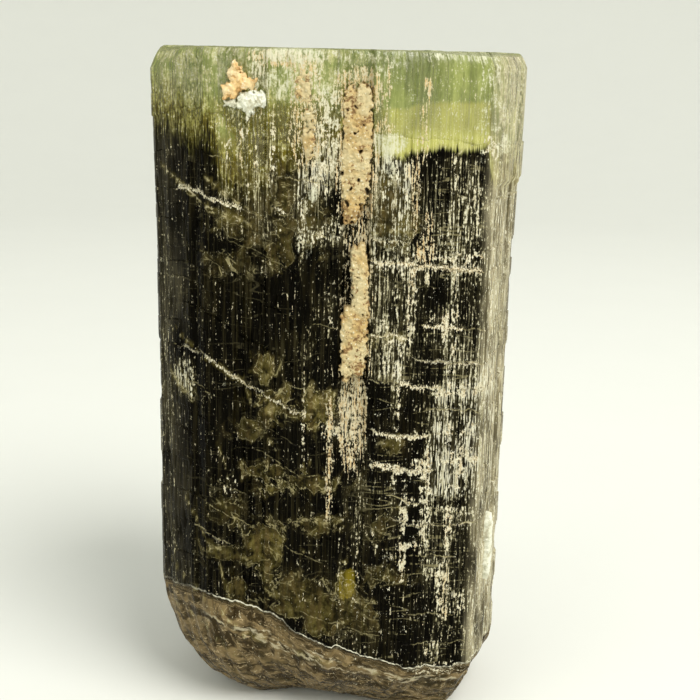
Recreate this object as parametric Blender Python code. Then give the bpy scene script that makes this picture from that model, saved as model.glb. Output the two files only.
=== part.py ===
"""A tourmaline crystal: a ridged prism broken off at its base, with clay and feldspar stuck to it.

It stands on the flat of its broken base. +Z runs up the prism and the front faces -Y.
"""

import math
import random

import bmesh
import bpy
from mathutils import Matrix, Vector, noise

# All sizes are in millimetres until build_mesh turns them into metres.
MM = 0.001

# The prism. Its outline is seen from above, anticlockwise from the middle of the front.
HEIGHT = 61.0
CORNERS = (
    (1.8, -13.0),
    (13.4, -11.9),
    (16.1, -5.4),
    (15.8, 1.0),
    (7.0, 12.2),
    (-5.0, 13.0),
    (-15.0, 3.0),
    (-15.9, -7.0),
    (-11.1, -12.0),
)
CORNER_ROUNDING = 0.7
FRONT_LEFT, FRONT_RIGHT = -12.9, 11.6  # arc lengths of the two ends of the front
FRONT_STEP, BACK_STEP = 0.5, 1.1  # between ridges
RIDGE_DEPTH = 0.38

# The groove down the front.
GROOVE_HALF = 1.2
GROOVE_WALL = 0.15
GROOVE_DEPTH, GROOVE_DEPTH_LOW = 1.0, 0.45
GROOVE_SHALLOWS = (24.0, 32.0)  # heights between which it gets shallower

# Cracks run across the prism, and each stretch between two of them is shifted a little.
CRACKS = (14.0, 20.5, 25.4, 28.6, 33.1, 35.9, 39.0, 44.1, 50.2, 54.5)
CRACK_HALF = 0.14
ROWS_BETWEEN = (9.5, 17.2, 23.0, 31.0, 41.5, 47.2, 57.0)
BAND_SHIFT = 0.16
LEDGE_HEIGHT, LEDGE_DEPTH = 50.2, 0.3  # the right side stands further out above this height

# The broken base: its upper edge, then the lip, terrace and slope down to the flat foot.
EDGE_RIGHT = 6.0
EDGE_CURVE = (8.0, -0.28, 0.011)  # height along the front, as a quadratic in x
EDGE_BACK = 3.6
BREAK_PROFILE = ((0.07, 0.8), (0.3, 0.66), (0.66, 0.3), (1.0, 0.0))  # share of the inset, of the height
FOOT_INSET, FOOT_INSET_LEFT = 2.8, 3.6
FOOT_LEFT_DIRECTION = Vector((-0.6, -0.8))
FOOT_RING = 0.5

# The top: a flat end with a narrow bevel, wider where its corners are chipped.
BEVEL, BEVEL_LEFT, BEVEL_RIGHT = 0.45, 0.9, 0.45
TOP_RELIEF = 0.12
TOP_RINGS = (0.62, 0.3)

# Node: (arc length, height) of its middle, width, height, thickness, how deep it is seated.
CRUSTS = {
    "clay_groove_upper": ((-0.05, 52.8), 1.75, 10.8, 1.05, 0.8),
    "clay_groove_lower": ((0.1, 38.4), 1.65, 13.2, 1.0, 0.8),
    "clay_vein_left": ((-4.4, 55.3), 1.7, 6.6, 0.35, -0.12),
    "clay_patch": ((-9.9, 58.25), 2.9, 3.0, 0.5, -0.12),
    "feldspar_patch": ((-9.5, 55.95), 3.5, 1.3, 0.4, -0.12),
    "feldspar_grain": ((14.6, 16.7), 1.3, 6.2, 0.6, -0.12),
}
CRUST_SEGMENTS, CRUST_RINGS = 14, 12
CRUST_LUMPS = 0.45

TOURMALINE = ((0.045, 0.055, 0.022), 0.3)
CLAY = ((0.62, 0.42, 0.2), 0.9)
FELDSPAR = ((0.72, 0.73, 0.66), 0.7)


def smooth(low, high, value):
    """0 at low, 1 at high and an even curve between them."""
    t = min(max((value - low) / (high - low), 0.0), 1.0)
    return t * t * (3 - 2 * t)


def sides():
    """Each side of the outline, as its start, end and length."""
    points = [Vector(corner) for corner in CORNERS]
    return [(a, b, (b - a).length) for a, b in zip(points, points[1:] + points[:1])]


SIDES = sides()
PERIMETER = sum(length for _, _, length in SIDES)


def sharp_outline(arc):
    arc %= PERIMETER
    for start, end, length in SIDES:
        if arc <= length:
            return start.lerp(end, arc / length)
        arc -= length
    return SIDES[0][0]


def outline(arc):
    """The point at this arc length from the middle of the front, and the normal facing out."""
    before = sharp_outline(arc - CORNER_ROUNDING)
    after = sharp_outline(arc + CORNER_ROUNDING)
    along = (after - before).normalized()
    point = (before + 2 * sharp_outline(arc) + after) / 4
    return point, Vector((along.y, -along.x))


def ridge_places(rng):
    """Arc lengths of the ridges' edges, closer together across the front, with the groove's walls exact."""
    walls = [side * (GROOVE_HALF + step) for side in (-1, 1) for step in (-GROOVE_WALL, GROOVE_WALL)]
    places = [*walls, -0.4, 0.4]
    arc = FRONT_LEFT
    while arc < PERIMETER + FRONT_LEFT - FRONT_STEP:
        if abs(arc) > GROOVE_HALF + FRONT_STEP / 2:
            places.append(arc)
        arc += rng.uniform(0.8, 1.2) * (FRONT_STEP if arc < FRONT_RIGHT else BACK_STEP)
    return sorted(places)


def ridge_depths(count, rng):
    """A depth for each place, in runs that make flat lands with a step between them."""
    depths = []
    while len(depths) < count:
        depths += [rng.uniform(0, RIDGE_DEPTH)] * rng.choice((1, 1, 2, 3))
    return depths[:count]


def edge_height(point):
    """The height at which the broken base begins, on this point of the outline."""
    a, b, c = EDGE_CURVE
    front = a + b * point.x + c * point.x**2
    ragged = 0.5 * noise.noise(Vector((point.x / 2, point.y / 2, 3.0)))
    return ragged + EDGE_BACK + (front - EDGE_BACK) * smooth(9.0, -4.0, point.y)


def rows():
    """(level, number of the band between cracks) of every row up the sides, from the broken edge to the bevel."""
    found = [(EDGE_RIGHT, 0)]
    for level in sorted(CRACKS + ROWS_BETWEEN):
        band = sum(crack < level for crack in CRACKS)
        if level in CRACKS:
            found += [(level - CRACK_HALF, band), (level + CRACK_HALF, band + 1)]
        else:
            found.append((level, band))
    return found


def height_at(level, point):
    """Levels follow the broken edge near the base and are flat at the top."""
    edge = edge_height(point)
    return edge + (HEIGHT - edge) * (level - EDGE_RIGHT) / (HEIGHT - EDGE_RIGHT)


def relief(arc, height, depth, band):
    """How far the side stands out from the plain outline. Ridges and the groove are cut into it."""
    shift = BAND_SHIFT * noise.noise(Vector((arc / 3, band * 5.3, 1.0)))
    shallow = smooth(*GROOVE_SHALLOWS, height)
    groove = GROOVE_DEPTH_LOW + (GROOVE_DEPTH - GROOVE_DEPTH_LOW) * shallow
    inside = 1 - smooth(GROOVE_HALF - GROOVE_WALL, GROOVE_HALF + GROOVE_WALL, abs(arc))
    on_right = smooth(FRONT_RIGHT, FRONT_RIGHT + 1, arc) * smooth(FRONT_RIGHT + 14, FRONT_RIGHT + 8, arc)
    ledge = LEDGE_DEPTH * on_right * (height < LEDGE_HEIGHT)
    return shift - depth * (1 - inside) - groove * inside - ledge


def toward_axis(point, inset):
    return point * (1 - inset / point.length)


def bevel_at(point):
    """How wide the bevel of the top is here."""
    left = smooth(-12.0, -15.5, point.x) * smooth(6.0, -4.0, point.y)
    right = smooth(6.0, 13.0, point.x) * smooth(6.0, -4.0, point.y)
    return BEVEL + BEVEL_LEFT * left + BEVEL_RIGHT * right


def crystal_rings(places, depths):
    """Rings of points from the top down, each with one point for each place."""
    ends = [outline(arc) for arc in places]
    side = []
    for level, band in rows():
        ring = []
        for arc, depth, (point, normal) in zip(places, depths, ends):
            height = height_at(level, point)
            ring.append((point + relief(arc, height, depth, band) * normal, height))
        side.append(ring)
    rim = [(point, HEIGHT - 1.5 * bevel_at(point)) for point, _ in side[-1]]
    shoulder = [toward_axis(point, bevel_at(point)) for point, _ in rim]
    top = [[(point, HEIGHT - TOP_RELIEF * abs(noise.noise(point.to_3d() / 4))) for point in shoulder]]
    for scale in TOP_RINGS:
        inner = [point * scale for point in shoulder]
        top.append([(point, HEIGHT - TOP_RELIEF * abs(noise.noise(point.to_3d() / 4))) for point in inner])
    base = []
    for share, left in BREAK_PROFILE:
        ring = []
        for point, edge in side[0]:
            toward_left = smooth(-0.2, 1.0, point.normalized().dot(FOOT_LEFT_DIRECTION))
            inset = share * (FOOT_INSET + FOOT_INSET_LEFT * toward_left)
            bumps = 0.5 * left * (1 - left) * noise.noise(point.to_3d() / 2.5)
            ring.append((toward_axis(point, inset + 4 * bumps), edge * left + bumps))
        base.append(ring)
    foot = [(point * FOOT_RING, 0.0) for point, _ in base[-1]]
    return [*reversed(top), rim, *reversed(side), *base, foot]


def build_mesh(name, mesh, look):
    """Adds the mesh as one object, in metres."""
    bmesh.ops.scale(mesh, vec=(MM, MM, MM), verts=mesh.verts)
    bmesh.ops.recalc_face_normals(mesh, faces=mesh.faces)
    data = bpy.data.meshes.new(name)
    mesh.to_mesh(data)
    mesh.free()
    data.materials.append(material(name, look))
    collection = bpy.data.collections["tourmaline_crystal"]
    collection.objects.link(bpy.data.objects.new(name, data))


def sphere_grid(segments, rings):
    """A sphere, and for each vertex its place round and its ring down from the top."""
    mesh = bmesh.new()
    bmesh.ops.create_uvsphere(mesh, u_segments=segments, v_segments=rings + 1, radius=1)
    grid = []
    for vertex in mesh.verts:
        turn = math.atan2(vertex.co.y, vertex.co.x) / math.tau * segments
        drop = math.acos(min(max(vertex.co.z, -1), 1)) / math.pi * (rings + 1)
        grid.append((vertex, round(turn) % segments, round(drop)))
    return mesh, grid


def add_crystal():
    """A sphere whose rings become the top, the ridged sides, the broken base and the flat foot."""
    rng = random.Random(4)
    places = ridge_places(rng)
    rings = crystal_rings(places, ridge_depths(len(places), rng))
    mesh, grid = sphere_grid(len(places), len(rings))
    for vertex, place, ring in grid:
        if ring == 0:
            vertex.co = (0, 0, HEIGHT - TOP_RELIEF / 2)
        elif ring > len(rings):
            vertex.co = (0, 0, 0)
        else:
            point, height = rings[ring - 1][place]
            vertex.co = (point.x, point.y, height)
    build_mesh("crystal", mesh, TOURMALINE)


def add_crust(name, look):
    """A lumpy lens against the side: flat behind, where it is seated, and swollen in front."""
    (middle, centre), width, height, thickness, seat = CRUSTS[name]
    mesh, _ = sphere_grid(CRUST_SEGMENTS, CRUST_RINGS)
    for vertex in mesh.verts:
        across, out, up = vertex.co.x, -vertex.co.y, vertex.co.z
        level = centre + up * height / 2
        ragged = 1 + CRUST_LUMPS * noise.noise(Vector((across, level / 1.5, middle)))
        # A squarer outline than an ellipse.
        across *= (1 - up**2) ** -0.25 if abs(up) < 0.99 else 1
        point, normal = outline(middle + across * ragged * width / 2)
        swell = thickness * (1 + CRUST_LUMPS * noise.noise(Vector((across, out, level)))) * max(out, 0) ** 0.6
        point = point + (swell - seat) * normal
        vertex.co = (point.x, point.y, level)
    build_mesh(name, mesh, look)


def material(name, look):
    """A plain material in the piece's own colour."""
    colour, roughness = look
    made = bpy.data.materials.new(name)
    made.use_nodes = True
    shader = made.node_tree.nodes["Principled BSDF"]
    shader.inputs["Base Color"].default_value = (*colour, 1)
    shader.inputs["Roughness"].default_value = roughness
    shader.inputs["Metallic"].default_value = 0
    return made


def centre_on_foot(collection):
    """Moves every mesh together, so that the origin is under the middle of the whole."""
    corners = [vertex.co for obj in collection.objects for vertex in obj.data.vertices]
    low = Vector((min(co.x for co in corners), min(co.y for co in corners), 0))
    high = Vector((max(co.x for co in corners), max(co.y for co in corners), 0))
    for obj in collection.objects:
        obj.data.transform(Matrix.Translation(-(low + high) / 2))


def main():
    for obj in list(bpy.data.objects):
        bpy.data.objects.remove(obj)
    collection = bpy.data.collections.new("tourmaline_crystal")
    bpy.context.scene.collection.children.link(collection)
    add_crystal()
    for name in CRUSTS:
        add_crust(name, CLAY if name.startswith("clay") else FELDSPAR)
    centre_on_foot(collection)


main()
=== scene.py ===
import math

import bpy
import numpy as np
from mathutils import Matrix, Vector, noise


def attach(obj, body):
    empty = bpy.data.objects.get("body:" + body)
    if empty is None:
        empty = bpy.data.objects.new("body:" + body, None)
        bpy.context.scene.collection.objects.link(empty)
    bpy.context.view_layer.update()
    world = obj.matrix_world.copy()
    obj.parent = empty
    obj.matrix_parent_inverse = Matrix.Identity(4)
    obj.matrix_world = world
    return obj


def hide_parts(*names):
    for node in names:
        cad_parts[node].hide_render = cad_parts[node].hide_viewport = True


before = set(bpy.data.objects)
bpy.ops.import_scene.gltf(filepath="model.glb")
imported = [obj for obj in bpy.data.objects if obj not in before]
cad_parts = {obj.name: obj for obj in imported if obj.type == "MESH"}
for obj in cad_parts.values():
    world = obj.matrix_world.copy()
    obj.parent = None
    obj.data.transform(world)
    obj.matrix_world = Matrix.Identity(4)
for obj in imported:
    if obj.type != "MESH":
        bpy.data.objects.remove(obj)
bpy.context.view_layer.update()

mm = 0.001
frameShift = Vector((-0.08, 0.41, 0))  # from the prism's own axis to the middle of its box
# Sizes of the crystal are in millimetres until setPoints makes metres of them.


def smooth(low, high, value):
    # an eased step, 0 at low and 1 at high
    t = np.clip((np.asarray(value, float) - low) / (high - low), 0, 1)
    return t * t * (3 - 2 * t)


octaveFalloff, octaveStep = 0.9, 2.1


def noiseAt(x, y, z=0.0, octaves=1):
    # gradient noise about 0, for whole arrays
    x, y, z = np.broadcast_arrays(x, y, z)
    places = zip(x.ravel().tolist(), y.ravel().tolist(), z.ravel().tolist())
    if octaves == 1:
        values = [noise.noise(place) for place in places]
    else:
        values = [noise.fractal(place, octaveFalloff, octaveStep, octaves) for place in places]
    return np.array(values).reshape(x.shape)


def insideBy(x, z, points):
    # distance in from the edge of a closed outline, negative outside it
    points = np.array(points, float)
    best = np.full(x.shape, 1e9)
    inside = np.zeros(x.shape, bool)
    for (ax, az), (bx, bz) in zip(points, np.roll(points, -1, axis=0)):
        dx, dz = bx - ax, bz - az
        t = np.clip(((x - ax) * dx + (z - az) * dz) / (dx * dx + dz * dz), 0, 1)
        best = np.minimum(best, np.hypot(x - ax - t * dx, z - az - t * dz))
        crosses = (az > z) != (bz > z)
        inside ^= crosses & (x < ax + (z - az) * dx / (dz if dz else 1e-9))
    return np.where(inside, best, -best)


landCount, landStart, landSlope, landShallow = 1600, -60, 0.06, 1.4


def lands(arcs, widths, depth, seed):
    # flat lands of random width and depth, with a short slope between them
    rng = np.random.default_rng(seed)
    edges = landStart + np.cumsum(rng.uniform(*widths, landCount))
    depths = rng.random(landCount) ** landShallow * depth
    places = np.column_stack([edges[:-1] + landSlope, edges[1:]]).ravel()
    return np.interp(arcs, places, np.repeat(depths[:-1], 2))


def gridPiece(name, columns, rows):
    # a flat grid, and for each point its column from the left and its row from the top
    bpy.ops.object.select_all(action="DESELECT")
    bpy.ops.mesh.primitive_grid_add(x_subdivisions=columns - 1, y_subdivisions=rows - 1, size=2)
    piece = bpy.context.object
    piece.name = piece.data.name = name
    flat = np.empty(len(piece.data.vertices) * 3)
    piece.data.vertices.foreach_get("co", flat)
    flat = flat.reshape(-1, 3)
    column = np.round((flat[:, 0] + 1) / 2 * (columns - 1)).astype(int)
    row = np.round((1 - flat[:, 1]) / 2 * (rows - 1)).astype(int)
    return piece, column, row


def setPoints(piece, points):
    piece.data.vertices.foreach_set("co", ((np.asarray(points) + np.array(frameShift)) * mm).ravel())
    piece.data.update()


def addValues(piece, name, values):
    # one number a point, for the finish to read
    layer = piece.data.attributes.new(name, "FLOAT", "POINT")
    layer.data.foreach_set("value", np.asarray(values, np.float32).ravel())


def addMap(piece, name, across, up):
    corners = np.empty(len(piece.data.loops), int)
    piece.data.loops.foreach_get("vertex_index", corners)
    layer = piece.data.uv_layers.new(name=name)
    layer.data.foreach_set("uv", np.column_stack([across[corners], up[corners]]).ravel())


def inEditMode(piece, *steps):
    bpy.ops.object.select_all(action="DESELECT")
    piece.select_set(True)
    bpy.context.view_layer.objects.active = piece
    bpy.ops.object.mode_set(mode="EDIT")
    bpy.ops.mesh.select_mode(type="VERT")
    for step in steps:
        step()
    bpy.ops.object.mode_set(mode="OBJECT")


def selectPoints(piece, chosen):
    inEditMode(piece, lambda: bpy.ops.mesh.select_all(action="DESELECT"))
    piece.data.vertices.foreach_set("select", np.asarray(chosen, bool))


class Wire:
    # a node's output: reckoning with it adds Math nodes
    def __init__(self, finish, socket):
        self.finish, self.socket = finish, socket

    def math(self, operation, *values, **settings):
        return self.finish.add("ShaderNodeMath", {"operation": operation, **settings}, values)

    def size(self):
        return self.math("ABSOLUTE", self)

    def __add__(self, other):
        return self.math("ADD", self, other)

    def __sub__(self, other):
        return self.math("SUBTRACT", self, other)

    def __rsub__(self, other):
        return self.math("SUBTRACT", other, self)

    def __mul__(self, other):
        return self.math("MULTIPLY", self, other)

    def __pow__(self, other):
        return self.math("POWER", self, other)

    __radd__, __rmul__ = __add__, __mul__

    def max(self, other):
        return self.math("MAXIMUM", self, other)

    def min(self, other):
        return self.math("MINIMUM", self, other)

    def fraction(self):
        return self.math("FRACT", self)

    def clamped(self):
        return self.math("ADD", self, 0, use_clamp=True)

    def rise(self, low, high):
        # 0 below low, 1 above high; either order
        return self.finish.add("ShaderNodeMapRange", {"interpolation_type": "SMOOTHSTEP"},
                               [self, low, high, 0, 1])


class Finish:
    # a material being made
    def __init__(self, name):
        self.material = bpy.data.materials.new(name)
        self.material.use_nodes = True
        self.tree = self.material.node_tree
        self.tree.nodes.clear()

    def add(self, kind, settings=None, sockets=(), out=0):
        node = self.tree.nodes.new(kind)
        for key, value in (settings or {}).items():
            setattr(node, key, value)
        pairs = sockets.items() if isinstance(sockets, dict) else enumerate(sockets)
        for key, value in pairs:
            if isinstance(value, Wire):
                self.tree.links.new(value.socket, node.inputs[key])
            else:
                node.inputs[key].default_value = value
        return Wire(self, node.outputs[out])

    def value(self, name):
        return self.add("ShaderNodeAttribute", {"attribute_name": name}, out="Fac")

    def scaled(self, vector, scale, offset=(0, 0, 0)):
        return self.add("ShaderNodeMapping", {}, {"Vector": vector, "Scale": scale, "Location": offset})

    def noise(self, vector, scale, offset=(0, 0, 0), detail=2, roughness=0.55, distortion=0.0, flat=False):
        vector = self.scaled(vector, scale, offset)
        return self.add("ShaderNodeTexNoise", {"noise_dimensions": "2D" if flat else "3D"},
                        {"Vector": vector, "Scale": 1.0, "Detail": detail, "Roughness": roughness,
                         "Distortion": distortion})

    def cells(self, vector, scale, out="Distance"):
        sockets = {"Vector": self.scaled(vector, scale), "Scale": 1.0, "Randomness": 1.0}
        return self.add("ShaderNodeTexVoronoi", {"feature": "F1"}, sockets, out)

    def mix(self, factor, first, second):
        # the first colour where the factor is 0, the second where it is 1
        first, second = ((*tone, 1) if isinstance(tone, tuple) else tone for tone in (first, second))
        return self.add("ShaderNodeMix", {"data_type": "RGBA", "clamp_factor": True},
                        {0: factor, 6: first, 7: second}, out=2)

    def bump(self, height, distance, strength):
        return self.add("ShaderNodeBump", {}, {"Height": height, "Distance": distance, "Strength": strength})

    def principled(self, **sockets):
        named = {key.replace("_", " "): value for key, value in sockets.items()}
        return self.add("ShaderNodeBsdfPrincipled", {}, named)

    def output(self, surface, volume=None):
        node = self.tree.nodes.new("ShaderNodeOutputMaterial")
        self.tree.links.new(surface.socket, node.inputs["Surface"])
        if volume:
            self.tree.links.new(volume.socket, node.inputs["Volume"])


view = {
    "place": (1.5, -109.4, 59.9), "tip": 76.07, "roll": 1.3,
    "lens": 59.66, "sensor": 36, "nearest": 0.005, "farthest": 20,
}


def makeCamera():
    data = bpy.data.cameras.new("camera")
    data.sensor_width, data.lens = view["sensor"], view["lens"]
    data.clip_start, data.clip_end = view["nearest"], view["farthest"]
    camera = bpy.data.objects.new("camera", data)
    bpy.context.scene.collection.objects.link(camera)
    camera.location = (Vector(view["place"]) + frameShift) * mm
    tip = Matrix.Rotation(math.radians(view["tip"]), 3, "X")
    camera.rotation_euler = (tip @ Matrix.Rotation(math.radians(view["roll"]), 3, "Z")).to_euler()
    bpy.context.scene.camera = camera


studio = {  # in metres
    "floorReach": 0.36, "floorSides": 96, "bowlReach": 1.0, "bowlRise": 0.9, "bowlSteps": 14,
    "floorColour": (0.81, 0.815, 0.765), "floorRoughness": 0.9, "floorGloss": 0.1,
    "mottleScale": 60, "mottle": 0.02, "mottleLeast": 0.985,
    "key": {"place": (0.28, -0.30, 0.55), "size": 0.42, "power": 3.9, "colour": (1.0, 0.985, 0.95)},
    "fill": {"place": (-0.50, -0.45, 0.35), "size": 0.6, "power": 0.9, "colour": (0.96, 0.98, 1.0)},
    "lightsAim": (0, 0, 0.03),
    "worldColour": (0.95, 0.97, 0.93), "worldStrength": 0.70,
}


def curveUp():
    # pull the floor's rim out and up, a step at a time
    reach, height = studio["floorReach"], 0.0
    for step in range(1, studio["bowlSteps"] + 1):
        turn = math.pi / 2 * step / studio["bowlSteps"]
        nextReach = studio["floorReach"] + (studio["bowlReach"] - studio["floorReach"]) * math.sin(turn)
        nextHeight = studio["bowlRise"] * (1 - math.cos(turn))
        bpy.ops.mesh.extrude_region_move(TRANSFORM_OT_translate={"value": (0, 0, nextHeight - height)})
        bpy.ops.transform.resize(value=(nextReach / reach, nextReach / reach, 1))
        reach, height = nextReach, nextHeight


def makeFloor():
    # a round floor that curves up all round into a bowl
    bpy.ops.object.select_all(action="DESELECT")
    bpy.ops.mesh.primitive_circle_add(vertices=studio["floorSides"], radius=studio["floorReach"],
                                      fill_type="NGON")
    floor = bpy.context.object
    floor.name = floor.data.name = "studioFloor"
    inEditMode(floor, lambda: bpy.ops.mesh.select_all(action="SELECT"),
               lambda: bpy.ops.mesh.select_mode(type="EDGE"),
               lambda: bpy.ops.mesh.region_to_loop(), curveUp)
    inEditMode(floor, lambda: bpy.ops.mesh.select_all(action="SELECT"),
               lambda: bpy.ops.mesh.normals_make_consistent(inside=True))
    bpy.ops.object.shade_smooth()
    finish = Finish("studioFloor")
    where = finish.add("ShaderNodeTexCoord", {}, out="Object")
    scale = (studio["mottleScale"],) * 3
    tone = finish.noise(where, scale, detail=3) * studio["mottle"] + studio["mottleLeast"]
    colour = finish.mix(tone, (0, 0, 0), studio["floorColour"])
    finish.output(finish.principled(Base_Color=colour, Roughness=studio["floorRoughness"],
                                    Specular_IOR_Level=studio["floorGloss"]))
    floor.data.materials.append(finish.material)


def makeLights():
    for name in ("key", "fill"):
        settings = studio[name]
        data = bpy.data.lights.new(name + "Light", "AREA")
        data.shape, data.size = "DISK", settings["size"]
        data.energy, data.color = settings["power"], settings["colour"]
        light = bpy.data.objects.new(name + "Light", data)
        bpy.context.scene.collection.objects.link(light)
        light.location = settings["place"]
        away = Vector(studio["lightsAim"]) - light.location
        light.rotation_euler = away.to_track_quat("-Z", "Y").to_euler()
    world = bpy.data.worlds.new("studioLight")
    world.use_nodes = True
    background = world.node_tree.nodes["Background"]
    background.inputs["Color"].default_value = (*studio["worldColour"], 1)
    background.inputs["Strength"].default_value = studio["worldStrength"]
    bpy.context.scene.world = world
    bpy.context.scene.view_settings.view_transform = "Standard"


makeCamera()
makeFloor()
makeLights()
print("camera, floor and lights are made")

prism = {
    "height": 61.0,
    "corners": [(1.8, -13.0), (13.4, -11.9), (16.1, -5.4), (15.8, 1.0), (7.0, 12.2),
                (-5.0, 13.0), (-15.0, 3.0), (-15.9, -7.0), (-11.1, -12.0)],  # anticlockwise from above
    "rounding": 0.7,
    "fineFrom": -20.0, "fineTo": 19.2, "fineColumn": 0.115, "coarseColumn": 0.4, "rowHeight": 0.5,
    "grooveHalf": 1.2, "grooveWall": 0.14, "grooveDepth": 1.0,
    "grooveDepthLow": 0.45, "grooveDeepens": (24, 32),  # shallow below these heights, deep above
    "rightLedge": 50.2, "rightLedgeDepth": 0.3,
    "edgeLevel": 6.0, "crackHalf": 0.09, "crackRoom": 0.3,  # no plain row so near a crack
    "crackNotch": 0.05, "crackDeeper": 0.07, "crackClay": 0.3,  # what the strong ones add, and clay in them
    "ridges": [((0.25, 1.7), 0.32, 3), ((0.12, 0.45), 0.09, 4)],  # widths, depth, seed
    "grooveSmooths": 0.8, "swell": 0.08, "pitDepth": 0.12,
    "blockShift": 0.17, "blockStep": 0.16, "blockWidths": (0.4, 2.2),  # each band between cracks is set off
    "leftRise": 3.9, "waver": 0.5, "fineWaver": 0.16,  # how the levels run across
    "bevelLeast": 0.3, "bevelLeft": 0.9, "bevelRight": 0.5, "bevelChips": 0.25, "bevelDrop": 1.5,
    "bevelShares": (0.25, 0.5, 0.75, 1.0), "bevelRound": 1.7,
    "topScales": [0.985, 0.965, 0.94, 0.9, 0.84, 0.76, 0.66, 0.54, 0.42, 0.3, 0.18, 0.07, 0.0],
    "topStep": 0.05, "topSteps": 1.6, "topGrain": 0.05, "topLow": 0.06,
    "underEdge": 0.985,  # the plain outline that the base runs into
}

# The broken base: shares of the way in and down, from its upper edge to the foot.
breakShape = {
    "edgeX": [-16, -12.5, -9.5, -7.3, -4.2, -1.7, 0.4, 3.3, 7.1, 8.7, 12.4, 16],  # across the front
    "edgeZ": [11.7, 12.5, 12.3, 11.6, 10.3, 8.8, 7.9, 7.0, 6.0, 5.7, 6.0, 6.5],  # and its height there
    "edgeBehind": 3.6, "edgeWaver": 0.4, "edgeFineWaver": 0.14,
    "way": [0, 0.08, 0.16, 0.26, 0.4, 0.6, 0.8, 1.0],
    "inward": [0, 0.05, 0.08, 0.3, 0.45, 0.66, 0.83, 1.0],
    "height": [1, 0.87, 0.8, 0.66, 0.48, 0.28, 0.11, 0.0],
    "rings": 24, "footScales": [0.85, 0.6, 0.3, 0.0],
    "inset": 2.8, "insetLeft": 3.6, "left": (-0.6, -0.8),
    "ripple": 0.16, "rippleTurns": 14, "bumps": 0.8, "fineBumps": 0.5, "bumpsOut": 2.0,
}

# Each crack: its level at the right of the front, then where it shows, as
# (from arc, to arc, how strong, share of clay). Arcs run along the outline from the groove.
cracks = [
    (54.6, [(-12.6, -9.5, 0.3, 0.1), (26, 34, 0.4, 0.2)]),
    (50.0, [(-12.5, -2.0, 0.45, 0.2), (12, 19, 0.5, 0.3)]),
    (45.6, [(-16.5, -9.6, 0.95, 0.1), (-9.6, -4.2, 0.25, 0.1), (0.9, 4.4, 0.6, 0.2)]),
    (43.7, [(1.2, 3.4, 0.8, 0.4), (3.4, 10.9, 1.0, 0.75), (-9, -6, 0.2, 0.2)]),
    (42.0, [(22, 33, 0.6, 0.2), (-43, -36, 0.5, 0.1), (-11, -5.8, 0.25, 0.1), (3.0, 7.2, 0.2, 0.2)]),
    (38.8, [(5.8, 9.6, 0.85, 0.6), (9.6, 11.4, 0.4, 0.3), (-14, -11, 0.3, 0.1)]),
    (37.2, [(1.3, 4.6, 0.7, 0.3), (-3.6, -1.4, 0.3, 0.1)]),
    (35.7, [(-34, -22, 0.7, 0.2), (17, 21, 0.5, 0.2), (4.7, 11.3, 0.6, 0.15)]),
    (33.1, [(3.8, 7.8, 0.8, 0.5), (1.3, 2.9, 0.5, 0.2), (8, 11.2, 0.25, 0.2)]),
    (31.0, [(6.8, 11.3, 0.45, 0.2), (-6, -3.4, 0.4, 0.1)]),
    (28.5, [(26, 41, 0.65, 0.3), (-17, -13.2, 0.55, 0.1), (-13.2, -4.4, 0.7, 0.15), (1.6, 7.0, 0.75, 0.3)]),
    (25.3, [(1.9, 7.3, 0.95, 0.45), (-16, -12.4, 0.35, 0.1), (-9, -5, 0.2, 0.1)]),
    (22.4, [(-42, -30, 0.6, 0.2), (14, 18, 0.5, 0.2), (3.2, 6.2, 0.5, 0.3), (-8.6, -4.4, 0.3, 0.1)]),
    (20.2, [(3.6, 11.4, 0.55, 0.3)]),
    (17.2, [(5.5, 9.5, 0.4, 0.3), (-12.2, -9.2, 0.25, 0.1)]),
    (14.2, [(19, 30, 0.55, 0.2), (-28, -20, 0.6, 0.2), (-13.4, -8.6, 0.4, 0.1), (-6, -2.4, 0.3, 0.1),
            (2.0, 5.0, 0.3, 0.2)]),
    (11.4, [(-15.2, -10.4, 0.45, 0.1), (4.4, 9.8, 0.3, 0.2)]),
    (8.4, [(-4.4, 3.2, 0.3, 0.1), (6, 11, 0.35, 0.2)]),
]

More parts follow.
